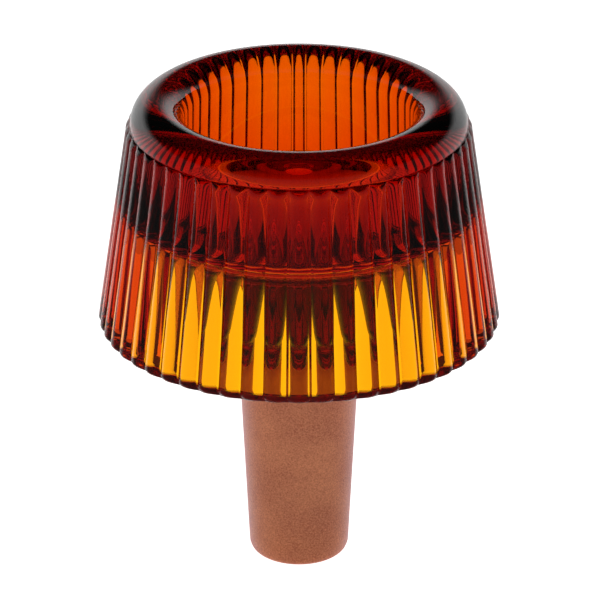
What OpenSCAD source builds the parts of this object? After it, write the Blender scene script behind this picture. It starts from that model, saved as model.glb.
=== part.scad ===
// Reeded glass bowl on a ground taper joint, in millimetres, +Z up.
// The origin is on the axis at the gauge plane, which is the large end of the ground taper.
// The pieces are glass parts, fused to each other face to face.

/* [Ground joint] */
// Diameter of the ground taper at its large end, the gauge plane
gauge_d = 14.5; // [13:0.1:16]
// Length over which the taper loses 1 mm of diameter
taper_run = 10; // [9:1:20]
// Length of the ground taper below the gauge plane
joint_len = 27.2; // [20:0.1:30]
// Radius that rounds the lower end of the joint
joint_end_round = 1; // [0.3:0.1:1.2]
// Bore through the joint and the neck
bore_d = 8; // [6:0.1:8.4]

/* [Neck] */
// Height from the gauge plane up to the bottom edge of the skirt
skirt_lift = 3.3; // [3:0.1:6]
// Radius of the flare where the neck meets the cup
neck_flare = 1.4; // [0.5:0.1:2]

/* [Reeded shell] */
// Number of reeds around the shell
rib_count = 54; // [44:1:64]
// Diameter over the reeds at the bottom edge of the skirt
skirt_d = 47.8; // [46:0.1:52]
// Diameter over the reeds at the shoulder
shoulder_d = 40.1; // [39.6:0.1:43]
// Height from the bottom edge of the skirt to the shoulder
shell_h = 24.8; // [22:0.1:28]
// How far a reed stands out of the groove beside it
rib_depth = 0.45; // [0.35:0.05:0.55]
// Height over which the tops of the reeds round off
reed_end = 1.2; // [0.6:0.1:2]
// Thickness of the shell's wall, over the reeds
shell_wall = 2.9; // [2.4:0.1:3.2]
// Radius that rounds the outer bottom edge of the skirt
edge_round = 0.7; // [0.4:0.1:1]
// Height of the ring-shaped hollow between the skirt and the cup
hollow_h = 14.6; // [12:0.1:16]

/* [Cup] */
// Diameter of the bowl's mouth
mouth_d = 26.8; // [25:0.1:28]
// Height of the bowl's floor above the skirt's edge, beside the wall
floor_h = 11.3; // [10:0.1:14]
// Radius between the bowl's wall and its floor
floor_round = 3; // [1:0.1:5]
// How far the floor falls towards the draw hole
floor_fall = 1; // [0.2:0.1:1.5]
// Height of the cup's lowest point against the skirt's edge
cup_foot_h = 0; // [-1:0.1:1]
// Draw hole in the bottom of the cup
draw_d = 4; // [2.5:0.1:5]

/* [Rim] */
// Height of the rim's crest above the shoulder
rim_h = 3.2; // [3:0.1:3.6]
// Diameter of the rim's crest
crest_d = 33; // [32:0.1:34]
// Radius of the dome that forms the rim's crest
dome_r = 3.2; // [2.6:0.1:3.6]
// Slope of the rim's inner side at the crease above the bowl's mouth, in degrees
lip_slope = 48; // [40:1:55]
// Diameter of the crease
crease_d = 27.7; // [27.2:0.1:28]
// Radius of the flare that leads from the bowl's wall to the crease
flare_round = 3.7; // [3:0.1:3.8]

/* [Hidden] */

$fn = 96;
over = 1;

amber = [0.72, 0.22, 0.02];
rim_amber = [0.42, 0.1, 0.04];
cup_amber = [0.67, 0.24, 0];
clear_amber = [0.95, 0.66, 0.05];
frosted_amber = [0.66, 0.4, 0.28];

// Heights above the gauge plane
skirt_z = skirt_lift;
hollow_z = skirt_z + hollow_h;
floor_z = skirt_z + floor_h;
neck_z = skirt_z + cup_foot_h;
shoulder_z = skirt_z + shell_h;
rim_z = shoulder_z + rim_h;

// Radii
gauge_r = gauge_d / 2;
end_r = gauge_r - joint_len / taper_run / 2;
bore_r = bore_d / 2;
flare_r = gauge_r + neck_flare;
skirt_r = skirt_d / 2;
shoulder_r = shoulder_d / 2;
rim_r = shoulder_r - rib_depth;
mouth_r = mouth_d / 2;
draw_r = draw_d / 2;
crest_x = crest_d / 2;
crease_r = crease_d / 2;

// Where the dome meets the outer rounding, and where its inner side meets the crease and the flare
outer_slope = 25;
outer_x = crest_x + dome_r * sin(outer_slope);
outer_z = rim_z - dome_r * (1 - cos(outer_slope));
rim_round = (rim_r - outer_x) / (1 - sin(outer_slope));
rim_round_z = outer_z - rim_round * cos(outer_slope);
lip_x = crest_x - dome_r * sin(lip_slope);
lip_z = rim_z - dome_r * (1 - cos(lip_slope));
crease_z = lip_z - (lip_x - crease_r) * tan(lip_slope);
flare_turn = acos(1 - (crease_r - mouth_r) / flare_round);

// Each reed is a cone that leans with the wall and meets its neighbours in sharp grooves
rib_share = 360 / rib_count;
rib_chord = 2 * skirt_r * sin(rib_share / 2);
rib_r = (rib_chord * rib_chord / 4 + rib_depth * rib_depth) / (2 * rib_depth);
rib_shrink = shoulder_r / skirt_r;
lean = atan((skirt_r - shoulder_r) / shell_h);
rib_len = shell_h / cos(lean);
core_in = 2 * rib_depth;

// Radius over the reeds at height z
function crest_r(z) = skirt_r + (shoulder_r - skirt_r) * (z - skirt_z) / shell_h;

// Radius of the shell's smooth inside at height z, where the cup is fused to it above the hollow
function shell_inside_r(z) = crest_r(z) - shell_wall;

// Points of an arc about [x, y], from angle a0 to angle a1 in n steps
function arc(x, y, r, a0, a1, n = 12) =
    [for (i = [0:n]) let (a = a0 + (a1 - a0) * i / n) [x + r * cos(a), y + r * sin(a)]];

// One reed on the shell's +X side
module reed() {
    translate([skirt_r - rib_r * cos(lean), 0, skirt_z])
        rotate([0, -lean, 0])
            cylinder(h = rib_len, r1 = rib_r, r2 = rib_r * rib_shrink);
}

// The shell before it is hollowed, with full-length reeds round a plain core
module reeded_blank() {
    translate([0, 0, skirt_z])
        cylinder(h = shell_h, r1 = skirt_r - core_in, r2 = shoulder_r - core_in);
    for (i = [0:rib_count - 1])
        rotate([0, 0, (i + 0.5) * rib_share]) reed();
}

// Outline that rounds the bottom edge, and the tops of the reeds where they die out below the rim
module shell_envelope() {
    reed_end_z = shoulder_z - reed_end;
    edge_x = crest_r(skirt_z + edge_round) - edge_round;
    reed_ends = [
        for (a = [0:15:90])
            [rim_r + (crest_r(reed_end_z) - rim_r) * cos(a), reed_end_z + reed_end * sin(a)]
    ];
    rotate_extrude()
        polygon(concat(
            [[0, skirt_z]],
            arc(edge_x, skirt_z + edge_round, edge_round, -90, 0, 6),
            reed_ends,
            [[0, shoulder_z]]
        ));
}

module fluted_shell() {
    color(amber)
        difference() {
            intersection() {
                reeded_blank();
                shell_envelope();
            }
            translate([0, 0, skirt_z - over])
                cylinder(
                    h = shell_h + 2 * over,
                    r1 = shell_inside_r(skirt_z - over),
                    r2 = shell_inside_r(shoulder_z + over)
                );
        }
}

module rim_ring() {
    color(rim_amber)
        rotate_extrude()
            polygon(concat(
                [[mouth_r, shoulder_z], [rim_r, shoulder_z]],
                arc(rim_r - rim_round, rim_round_z, rim_round, 0, 90 - outer_slope),
                arc(crest_x, rim_z - dome_r, dome_r, 95 - outer_slope, 90 + lip_slope),
                arc(
                    mouth_r + flare_round, crease_z - flare_round * sin(flare_turn), flare_round,
                    180 - flare_turn, 180, 6
                )
            ));
}

module bowl_cup() {
    color(cup_amber)
        rotate_extrude()
            polygon(concat(
                [
                    [draw_r, neck_z],
                    [flare_r, neck_z],
                    [shell_inside_r(hollow_z), hollow_z],
                    [shell_inside_r(shoulder_z), shoulder_z],
                    [mouth_r, shoulder_z]
                ],
                arc(mouth_r - floor_round, floor_z + floor_round, floor_round, 0, -90),
                [[draw_r, floor_z - floor_fall]]
            ));
}

module neck_tube() {
    color(clear_amber)
        rotate_extrude()
            polygon(concat(
                [[bore_r, 0], [gauge_r, 0]],
                arc(flare_r, neck_z - neck_flare, neck_flare, 180, 90, 8),
                [[bore_r, neck_z]]
            ));
}

module ground_joint() {
    round_x = end_r - joint_end_round;
    color(frosted_amber)
        difference() {
            rotate_extrude()
                polygon(concat(
                    [[0, 0], [0, -joint_len]],
                    arc(round_x, joint_end_round - joint_len, joint_end_round, -90, 0, 6),
                    [[gauge_r, 0]]
                ));
            translate([0, 0, -joint_len - over])
                cylinder(h = joint_len + 2 * over, r = bore_r);
        }
}

fluted_shell();
rim_ring();
bowl_cup();
neck_tube();
ground_joint();
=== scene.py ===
"""Looks of the reeded amber glass bowl: one clear glass body and a frosted ground joint, on a pale floor.

Blender lengths are in metres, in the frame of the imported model: +Z up, origin at the joint's gauge plane.
The outlines are worked out in millimetres and scaled as the meshes are made.
"""

import math

import bmesh
import bpy
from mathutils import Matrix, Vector, noise


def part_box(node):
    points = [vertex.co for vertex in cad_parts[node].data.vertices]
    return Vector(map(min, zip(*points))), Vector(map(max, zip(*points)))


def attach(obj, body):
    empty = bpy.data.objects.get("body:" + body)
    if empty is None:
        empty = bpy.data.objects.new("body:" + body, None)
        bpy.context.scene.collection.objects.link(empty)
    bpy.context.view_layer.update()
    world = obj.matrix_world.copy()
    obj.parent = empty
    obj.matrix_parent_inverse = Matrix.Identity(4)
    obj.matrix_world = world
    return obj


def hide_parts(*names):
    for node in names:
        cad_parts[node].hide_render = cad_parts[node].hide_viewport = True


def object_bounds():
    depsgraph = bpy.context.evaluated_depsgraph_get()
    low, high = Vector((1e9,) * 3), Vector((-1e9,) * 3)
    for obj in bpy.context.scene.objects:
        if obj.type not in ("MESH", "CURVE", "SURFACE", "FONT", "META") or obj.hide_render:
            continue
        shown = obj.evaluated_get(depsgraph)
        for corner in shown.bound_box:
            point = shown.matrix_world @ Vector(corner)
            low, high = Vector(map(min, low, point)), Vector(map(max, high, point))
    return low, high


MM = 0.001

# Reeds: one is narrower, on the mould's seam at the back. Their curve is worked out at SKIRT_R, and
# at the shoulder they stand out over the rim by SHOULDER_STEP.
RIB_COUNT = 54
SEAM_RIB_DEG = 4.9
STEPS_PER_RIB = 12
RIB_DEPTH = 0.58
SHOULDER_STEP = 0.45
SKIRT_R = 23.9
REED_END = 1.2

# The rest of the glass body's outline
SHELL_WALL = 2.9
EDGE_ROUND = 0.8
INNER_EDGE_ROUND = 0.7
DOME_R = 3.2
DOME_X = 16.5
DOME_TILT = 25.0
LIP_TILT = 48.0
CREASE_R = 13.85
FLARE_R = 3.7
HOLLOW_H = 14.6
HOLLOW_TIP = 1.5
NECK_FLARE = 1.4
MOUTH_R = 13.4
FLOOR_H = 11.3
FLOOR_ROUND = 3.0
FLOOR_FALL = 1.0
DRAW_R = 2.0
BORE_R = 4.0

# How fast a groove deepens round the skirt's bottom edge, and what is left of it at the reeds' tops
EDGE_GROOVE_RATE = 1.3
END_GROOVE_SHARE = 0.85

# Unevenness of the pressed glass
WOBBLE = 0.02
WOBBLE_LENGTH = 4.0

# Joint, whose radius shrinks by JOINT_TAPER for each millimetre down
JOINT_END_ROUND = 1.0
JOINT_SIDES = 192
JOINT_TAPER = 0.05
BORE_EDGE_ROUND = 0.3

# Glass: absorption per metre for red, green and blue, and the frosted joint's part of it
LOSS_PER_M = (75.0, 380.0, 3000.0)
FROST_LOSS_SHARE = 0.35
GLASS_IOR = 1.51
RIPPLE_SCALE = 320.0
GRAIN_SCALE = 5200.0
CLOUD_SCALE = 130.0

# Surroundings, where 1.0 is white. Each fade runs between two values of a direction's X, Y or Z.
FRONT_GLOW = 0.12
OVERHEAD_GLOW = 0.01
RIGHT_GLOW = 0.8
BACK_FADE = (0.1, 0.6)
HIGH_FADE = (0.2, 0.42)
RIGHT_FADE = (-0.8, 0.8)

# Floor, and the upper lamp, which lights matt surfaces and isn't seen through the glass
FLOOR_GLOW = 1.0
FLOOR_HALF = 3.0
FLOOR_LAMP_W = 8.0
FLOOR_LAMP_PLACE = (0.0, 0.0, 0.9)
FLOOR_LAMP_SIZE = (1.6, 1.6)

# Inner and outer radius of the ring of light under the glass
TABLE_RING = (0.040, 0.140)
TABLE_SIDES = 96
TABLE_GLOW = 1.05

# Lower lamp that is seen only through the glass, and doesn't light matt surfaces
KEY_LAMP_W = 6.0
KEY_PLACE = (0.0, 0.0, 0.5)
KEY_SIZE = (1.2, 1.2)
KEY_AIM = (0.0, 0.0, 0.02)

# Camera: a long lens, about 25 degrees above the horizon
CAMERA_FAR = 0.496
CAMERA_UP_DEG = 24.95
CAMERA_LENS = 252.0
SENSOR = 36.0
AIM_ABOVE_SKIRT = 2.2 * MM
AIM_RIGHT = 0.12 * MM


def arc(cx, cz, radius, start, end, steps):
    """Points of an arc about (cx, cz), from angle start to angle end in degrees."""
    angles = [math.radians(start + (end - start) * i / steps) for i in range(steps + 1)]
    return [(cx + radius * math.cos(a), cz + radius * math.sin(a)) for a in angles]


def line(p, q, steps):
    """Points from p to q, with both ends."""
    return [
        (p[0] + (q[0] - p[0]) * i / steps, p[1] + (q[1] - p[1]) * i / steps)
        for i in range(steps + 1)
    ]


class Sizes:
    """Heights and radii of the glass, in millimetres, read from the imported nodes."""

    def __init__(self):
        low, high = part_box("fluted_shell")
        self.skirt_z = low.z / MM
        self.shoulder_z = high.z / MM
        self.skirt_r = max(high.y, high.x) / MM
        rim_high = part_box("rim_ring")[1]
        self.rim_z = rim_high.z / MM
        self.rim_r = rim_high.x / MM
        self.neck_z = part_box("bowl_cup")[0].z / MM
        self.gauge_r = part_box("ground_joint")[1].x / MM
        self.joint_end_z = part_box("ground_joint")[0].z / MM
        self.shoulder_r = self.rim_r + SHOULDER_STEP
        self.lean = (self.skirt_r - self.shoulder_r) / (self.shoulder_z - self.skirt_z)

    def crest_r(self, z):
        """Radius over the reeds at height z."""
        return self.skirt_r - self.lean * (z - self.skirt_z)

    def inside_r(self, z):
        """Radius of the skirt's smooth inside at height z."""
        return self.crest_r(z) - SHELL_WALL


def reed_angles():
    """(angle, drop) round the body. The drop goes from 0 on a reed's crest to 1 in a groove."""
    seam = math.radians(SEAM_RIB_DEG)
    share = (2 * math.pi - seam) / (RIB_COUNT - 1)
    widths = [seam] + [share] * (RIB_COUNT - 1)
    found = []
    start = math.pi - seam / 2
    for width in widths:
        half = width / 2
        half_chord = half * SKIRT_R
        radius = (half_chord**2 + RIB_DEPTH**2) / (2 * RIB_DEPTH)
        steepest = math.asin(min(1.0, half_chord / radius))
        for i in range(STEPS_PER_RIB):
            slope = steepest * (2 * i / STEPS_PER_RIB - 1)
            across = math.sin(slope) / math.sin(steepest)
            drop = (1 - math.cos(slope)) / (1 - math.cos(steepest))
            found.append((start + half + half * across, drop))
        start += width
    return found


def plain(outline):
    """Adds a groove depth of 0 to each (radius, height)."""
    return [(r, z, 0) for r, z in outline]


def reeded_wall(s):
    """The skirt's bottom edge, the reeds, and their tops that die out into the rim."""
    points = []
    edge_z = s.skirt_z + EDGE_ROUND
    edge_x = s.crest_r(edge_z) - EDGE_ROUND
    for r, z in arc(edge_x, edge_z, EDGE_ROUND, -90, -6, 8):
        out = (r - edge_x) / EDGE_ROUND
        points.append((r, z, RIB_DEPTH * min(1.0, EDGE_GROOVE_RATE * out)))
    reed_z = edge_z + 0.4
    reed_end_z = s.shoulder_z - REED_END
    for r, z in line((s.crest_r(reed_z), reed_z), (s.crest_r(reed_end_z), reed_end_z), 24):
        points.append((r, z, RIB_DEPTH * r / s.skirt_r))
    stand = s.crest_r(reed_end_z) - s.rim_r
    for i in range(1, 9):
        a = math.radians(90 * i / 8)
        r = s.rim_r + stand * math.cos(a)
        depth = RIB_DEPTH * END_GROOVE_SHARE * math.cos(a)
        points.append((r, reed_end_z + REED_END * math.sin(a), depth))
    return points


def rim_and_bowl(s):
    """A rounded shoulder, a low dome, a crease, the flare of the mouth, the bowl and the draw hole."""
    tilt = math.radians(DOME_TILT)
    fall = DOME_R * (1 - math.cos(tilt))
    shoulder_round = (s.rim_r - DOME_X - DOME_R * math.sin(tilt)) / (1 - math.sin(tilt))
    round_z = s.rim_z - fall - shoulder_round * math.cos(tilt)
    points = arc(s.rim_r - shoulder_round, round_z, shoulder_round, 0, 90 - DOME_TILT, 12)
    points += arc(DOME_X, s.rim_z - DOME_R, DOME_R, 90 - DOME_TILT, 90 + LIP_TILT, 18)[1:]
    lip_r, lip_z = points[-1]
    crease_z = lip_z - (lip_r - CREASE_R) * math.tan(math.radians(LIP_TILT))
    flare_deg = math.degrees(math.acos(1 - (CREASE_R - MOUTH_R) / FLARE_R))
    flare_z = crease_z - FLARE_R * math.sin(math.radians(flare_deg))
    points += arc(MOUTH_R + FLARE_R, flare_z, FLARE_R, 180 - flare_deg, 180, 6)

    floor_z = s.skirt_z + FLOOR_H
    corner_z = floor_z + FLOOR_ROUND
    draw_z = floor_z - FLOOR_FALL
    points += line((MOUTH_R, flare_z - 0.4), (MOUTH_R, corner_z + 0.4), 6)
    points += arc(MOUTH_R - FLOOR_ROUND, corner_z, FLOOR_ROUND, 0, -84, 10)
    points.append((DRAW_R + 0.6, draw_z + 0.1))
    points += arc(DRAW_R + 0.5, draw_z - 0.5, 0.5, 90, 180, 4)
    points.append((DRAW_R, s.neck_z + 0.5))
    return plain(points)


def neck_and_hollow(s):
    """Down the bore, up the neck and the cup's underside, and down the inside of the skirt."""
    points = [
        (BORE_R - 0.4, s.neck_z),
        (BORE_R, s.neck_z - 0.4),
        (BORE_R, 0),
        (s.gauge_r, 0),
    ]
    flare_r = s.gauge_r + NECK_FLARE
    points += arc(flare_r, s.neck_z - NECK_FLARE, NECK_FLARE, 180, 130, 6)
    tip_z = s.skirt_z + HOLLOW_H - HOLLOW_TIP
    tip_out = s.inside_r(tip_z)
    tip_in = tip_out - 2 * HOLLOW_TIP
    points += line((flare_r + 0.2, s.neck_z + 0.3), (tip_in, tip_z), 10)
    points += arc(tip_out - HOLLOW_TIP, tip_z, HOLLOW_TIP, 150, 30, 6)
    low_z = s.skirt_z + INNER_EDGE_ROUND
    low_r = s.inside_r(low_z)
    points += line((tip_out, tip_z), (low_r, low_z), 10)
    points += arc(low_r + INNER_EDGE_ROUND, low_z, INNER_EDGE_ROUND, 195, 262, 5)
    return plain(points)


def body_outline(s):
    """(radius, height, groove depth) of the glass body's half section, once round it."""
    return reeded_wall(s) + rim_and_bowl(s) + neck_and_hollow(s)


def turned_mesh(name, outline, angles):
    """A closed mesh swept round Z, from (radius, height, groove depth) and (angle, drop)."""
    mesh = bpy.data.meshes.new(name)
    verts = []
    for r, z, depth in outline:
        for angle, drop in angles:
            radius = r - depth * drop
            x, y = math.sin(angle), -math.cos(angle)
            if depth > 0:
                spot = Vector((x * r, y * r, z)) / WOBBLE_LENGTH
                radius += WOBBLE * noise.noise(spot)
            verts.append((x * radius * MM, y * radius * MM, z * MM))
    rings, around = len(outline), len(angles)
    faces = []
    for i in range(rings):
        j = (i + 1) % rings
        for k in range(around):
            k2 = (k + 1) % around
            faces.append((i * around + k, i * around + k2, j * around + k2, j * around + k))
    mesh.from_pydata(verts, [], faces)
    mesh.update()
    bm = bmesh.new()
    bm.from_mesh(mesh)
    bmesh.ops.recalc_face_normals(bm, faces=bm.faces)
    bm.to_mesh(mesh)
    bm.free()
    for face in mesh.polygons:
        face.use_smooth = True
    piece = bpy.data.objects.new(name, mesh)
    bpy.context.scene.collection.objects.link(piece)
    return piece


def joint_outline(s):
    """Half section of the ground joint, from the gauge plane down and back up the bore."""
    end_r = s.gauge_r + JOINT_TAPER * s.joint_end_z
    round_z = s.joint_end_z + JOINT_END_ROUND
    points = line((s.gauge_r, 0), (end_r + JOINT_TAPER * JOINT_END_ROUND, round_z), 16)
    points += arc(end_r - JOINT_END_ROUND, round_z, JOINT_END_ROUND, -8, -90, 8)
    edge = BORE_EDGE_ROUND
    points += arc(BORE_R + edge, s.joint_end_z + edge, edge, 270, 180, 4)
    points += line((BORE_R, s.joint_end_z + 1), (BORE_R, 0), 8)
    return plain(points)


def even_angles(count):
    return [(2 * math.pi * k / count, 0) for k in range(count)]


def new_material(name):
    """A material with a Principled shader on its output."""
    material = bpy.data.materials.new(name)
    material.use_nodes = True
    tree = material.node_tree
    tree.nodes.clear()
    output = tree.nodes.new("ShaderNodeOutputMaterial")
    shader = tree.nodes.new("ShaderNodeBsdfPrincipled")
    tree.links.new(shader.outputs["BSDF"], output.inputs["Surface"])
    return material, tree, shader, output


def add_absorption(tree, output, share):
    """Volume absorption of LOSS_PER_M times share. Blender takes it as a density and a colour."""
    strongest = max(LOSS_PER_M)
    volume = tree.nodes.new("ShaderNodeVolumeAbsorption")
    volume.inputs["Color"].default_value = [1 - loss / strongest for loss in LOSS_PER_M] + [1]
    volume.inputs["Density"].default_value = strongest * share
    tree.links.new(volume.outputs["Volume"], output.inputs["Volume"])


def noise_field(tree, scale, detail):
    """Procedural noise that stays with the piece."""
    place = tree.nodes.new("ShaderNodeTexCoord")
    field = tree.nodes.new("ShaderNodeTexNoise")
    field.inputs["Scale"].default_value = scale
    field.inputs["Detail"].default_value = detail
    tree.links.new(place.outputs["Object"], field.inputs["Vector"])
    return field.outputs["Fac"]


def add_bump(tree, shader, height, strength, distance):
    bump = tree.nodes.new("ShaderNodeBump")
    bump.inputs["Strength"].default_value = strength
    bump.inputs["Distance"].default_value = distance
    tree.links.new(height, bump.inputs["Height"])
    tree.links.new(bump.outputs["Normal"], shader.inputs["Normal"])


def amber_glass():
    """Clear amber glass with a faint ripple from the mould."""
    material, tree, shader, output = new_material("amber_glass")
    shader.inputs["Base Color"].default_value = (1, 1, 1, 1)
    shader.inputs["Roughness"].default_value = 0.0
    shader.inputs["IOR"].default_value = GLASS_IOR
    shader.inputs["Transmission Weight"].default_value = 1.0
    add_bump(tree, shader, noise_field(tree, RIPPLE_SCALE, 2.0), 0.12, 0.02 * MM)
    add_absorption(tree, output, 1.0)
    return material


def frosted_glass():
    """Ground glass with a fine grain, and slightly cloudy."""
    material, tree, shader, output = new_material("frosted_glass")
    shader.inputs["Roughness"].default_value = 0.45
    shader.inputs["IOR"].default_value = 1.5
    shader.inputs["Transmission Weight"].default_value = 0.3
    shader.inputs["Sheen Weight"].default_value = 0.5
    shader.inputs["Sheen Roughness"].default_value = 0.4
    shader.inputs["Sheen Tint"].default_value = (0.75, 0.55, 0.8, 1)
    grain = noise_field(tree, GRAIN_SCALE, 3.0)
    cloud = noise_field(tree, CLOUD_SCALE, 2.0)
    mix = tree.nodes.new("ShaderNodeMath")
    mix.operation = "MULTIPLY_ADD"
    mix.inputs[1].default_value = 0.7
    tree.links.new(grain, mix.inputs[0])
    tree.links.new(ramp_between(tree, cloud, 0.3, 0.7, 0.08, 0.2), mix.inputs[2])
    tint = tree.nodes.new("ShaderNodeValToRGB")
    tint.color_ramp.elements[0].position = 0.3
    tint.color_ramp.elements[0].color = (0.33, 0.065, 0.015, 1)
    tint.color_ramp.elements[1].position = 0.8
    tint.color_ramp.elements[1].color = (0.85, 0.33, 0.12, 1)
    tree.links.new(mix.outputs["Value"], tint.inputs["Fac"])
    tree.links.new(tint.outputs["Color"], shader.inputs["Base Color"])
    add_bump(tree, shader, grain, 0.8, 0.05 * MM)
    add_absorption(tree, output, FROST_LOSS_SHARE)
    return material


def dress(piece, material, slot, *nodes):
    """Gives a piece its material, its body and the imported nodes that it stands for."""
    piece.data.materials.append(material)
    piece.visible_shadow = False
    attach(piece, "root")
    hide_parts(*nodes)


def add_lamp(name, place, size, watts, aim, through):
    """A soft lamp that isn't mirrored, and that is seen through the glass only if through is True."""
    lamp = bpy.data.lights.new(name, "AREA")
    lamp.shape = "RECTANGLE"
    lamp.size, lamp.size_y = size
    lamp.energy = watts
    holder = bpy.data.objects.new(name, lamp)
    holder.location = place
    holder.rotation_euler = (Vector(aim) - Vector(place)).to_track_quat("-Z", "Y").to_euler()
    holder.visible_glossy = False
    holder.visible_transmission = through
    bpy.context.scene.collection.objects.link(holder)
    return holder


def glow_material(name, strength):
    """Even white light, very slightly uneven as a lit cloth is."""
    material, tree, shader, output = new_material(name)
    cloth = tree.nodes.new("ShaderNodeTexNoise")
    cloth.inputs["Scale"].default_value = 6.0
    tone = ramp_between(tree, cloth.outputs["Fac"], 0.2, 0.8, strength, strength * 1.04)
    shader.inputs["Base Color"].default_value = (0.8, 0.8, 0.8, 1)
    shader.inputs["Roughness"].default_value = 0.9
    shader.inputs["Emission Color"].default_value = (1, 1, 1, 1)
    tree.links.new(tone, shader.inputs["Emission Strength"])
    return material


def stage_mesh(name, verts, faces, strength):
    """A lit studio surface that isn't part of the object and isn't mirrored in it."""
    mesh = bpy.data.meshes.new(name)
    mesh.from_pydata(verts, [], faces)
    mesh.materials.append(glow_material(name, strength))
    surface = bpy.data.objects.new(name, mesh)
    bpy.context.scene.collection.objects.link(surface)
    surface.visible_glossy = False
    surface.visible_shadow = False
    return surface


def add_floor(z):
    """A white floor that the camera sees, and that the glass doesn't."""
    h = FLOOR_HALF
    corners = [(-h, -h, z), (h, -h, z), (h, h, z), (-h, h, z)]
    floor = stage_mesh("floor", corners, [(0, 1, 2, 3)], FLOOR_GLOW)
    floor.visible_transmission = False


def add_light_table(z):
    """A ring of light just above the floor that shows only through the glass."""
    n = TABLE_SIDES
    verts = []
    for radius in TABLE_RING:
        for i in range(n):
            a = 2 * math.pi * i / n
            verts.append((radius * math.cos(a), radius * math.sin(a), z))
    faces = [(i, (i + 1) % n, n + (i + 1) % n, n + i) for i in range(n)]
    table = stage_mesh("light_table", verts, faces, TABLE_GLOW)
    table.visible_camera = False
    table.visible_diffuse = False


def ramp_between(tree, source, low, high, out_low, out_high):
    """A smooth step of one value to another."""
    step = tree.nodes.new("ShaderNodeMapRange")
    step.interpolation_type = "SMOOTHSTEP"
    step.inputs["From Min"].default_value = low
    step.inputs["From Max"].default_value = high
    step.inputs["To Min"].default_value = out_low
    step.inputs["To Max"].default_value = out_high
    tree.links.new(source, step.inputs["Value"])
    return step.outputs["Result"]


def combine(tree, operation, a, b):
    """MULTIPLY or MAXIMUM of two values."""
    node = tree.nodes.new("ShaderNodeMath")
    node.operation = operation
    tree.links.new(a, node.inputs[0])
    tree.links.new(b, node.inputs[1])
    return node.outputs["Value"]


def add_studio():
    """Bright behind the object, dark overhead and in front, and plain white where it is seen directly."""
    world = bpy.data.worlds.new("studio")
    bpy.context.scene.world = world
    world.use_nodes = True
    tree = world.node_tree
    tree.nodes.clear()
    place = tree.nodes.new("ShaderNodeTexCoord")
    parts = tree.nodes.new("ShaderNodeSeparateXYZ")
    tree.links.new(place.outputs["Generated"], parts.inputs["Vector"])
    behind = ramp_between(tree, parts.outputs["Y"], *BACK_FADE, FRONT_GLOW, 1.0)
    low = ramp_between(tree, parts.outputs["Z"], *HIGH_FADE, 1.0, OVERHEAD_GLOW)
    left = ramp_between(tree, parts.outputs["X"], *RIGHT_FADE, 1.0, RIGHT_GLOW)
    glow = combine(tree, "MULTIPLY", combine(tree, "MULTIPLY", behind, low), left)
    ray = tree.nodes.new("ShaderNodeLightPath")
    shown = combine(tree, "MAXIMUM", glow, ray.outputs["Is Camera Ray"])
    background = tree.nodes.new("ShaderNodeBackground")
    background.inputs["Color"].default_value = (1, 1, 1, 1)
    tree.links.new(shown, background.inputs["Strength"])
    output = tree.nodes.new("ShaderNodeOutputWorld")
    tree.links.new(background.outputs["Background"], output.inputs["Surface"])


def add_camera(aim):
    camera = bpy.data.cameras.new("camera")
    camera.lens = CAMERA_LENS
    camera.sensor_width = SENSOR
    camera.clip_start = 0.01
    holder = bpy.data.objects.new("camera", camera)
    up = math.radians(CAMERA_UP_DEG)
    holder.location = aim + CAMERA_FAR * Vector((0, -math.cos(up), math.sin(up)))
    holder.rotation_euler = (math.pi / 2 - up, 0, 0)
    bpy.context.scene.collection.objects.link(holder)
    bpy.context.scene.camera = holder


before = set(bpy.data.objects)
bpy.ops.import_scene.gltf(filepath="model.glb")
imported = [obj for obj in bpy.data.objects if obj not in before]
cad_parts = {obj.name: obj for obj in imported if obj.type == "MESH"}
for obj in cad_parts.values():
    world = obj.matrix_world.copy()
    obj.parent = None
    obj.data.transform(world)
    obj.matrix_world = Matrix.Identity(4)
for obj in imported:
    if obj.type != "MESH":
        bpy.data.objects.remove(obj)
cad_low, cad_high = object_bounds()
sizes = Sizes()

body = turned_mesh("glass_body", body_outline(sizes), reed_angles())
dress(body, amber_glass(), "amber_glass", "fluted_shell", "rim_ring", "bowl_cup", "neck_tube")
joint = turned_mesh("frosted_joint", joint_outline(sizes), even_angles(JOINT_SIDES))
dress(joint, frosted_glass(), "frosted_glass", "ground_joint")

add_floor(cad_low.z)
add_studio()
add_lamp("floor_lamp", FLOOR_LAMP_PLACE, FLOOR_LAMP_SIZE, FLOOR_LAMP_W, (0, 0, 0), False)
add_light_table(cad_low.z + MM)
key_lamp = add_lamp("key_lamp", KEY_PLACE, KEY_SIZE, KEY_LAMP_W, KEY_AIM, True)
key_lamp.visible_diffuse = False
add_camera(Vector((AIM_RIGHT, 0, sizes.skirt_z * MM + AIM_ABOVE_SKIRT)))

scene = bpy.context.scene
scene.view_settings.view_transform = "Standard"
scene.cycles.max_bounces = 32
scene.cycles.transmission_bounces = 32
scene.cycles.glossy_bounces = 16
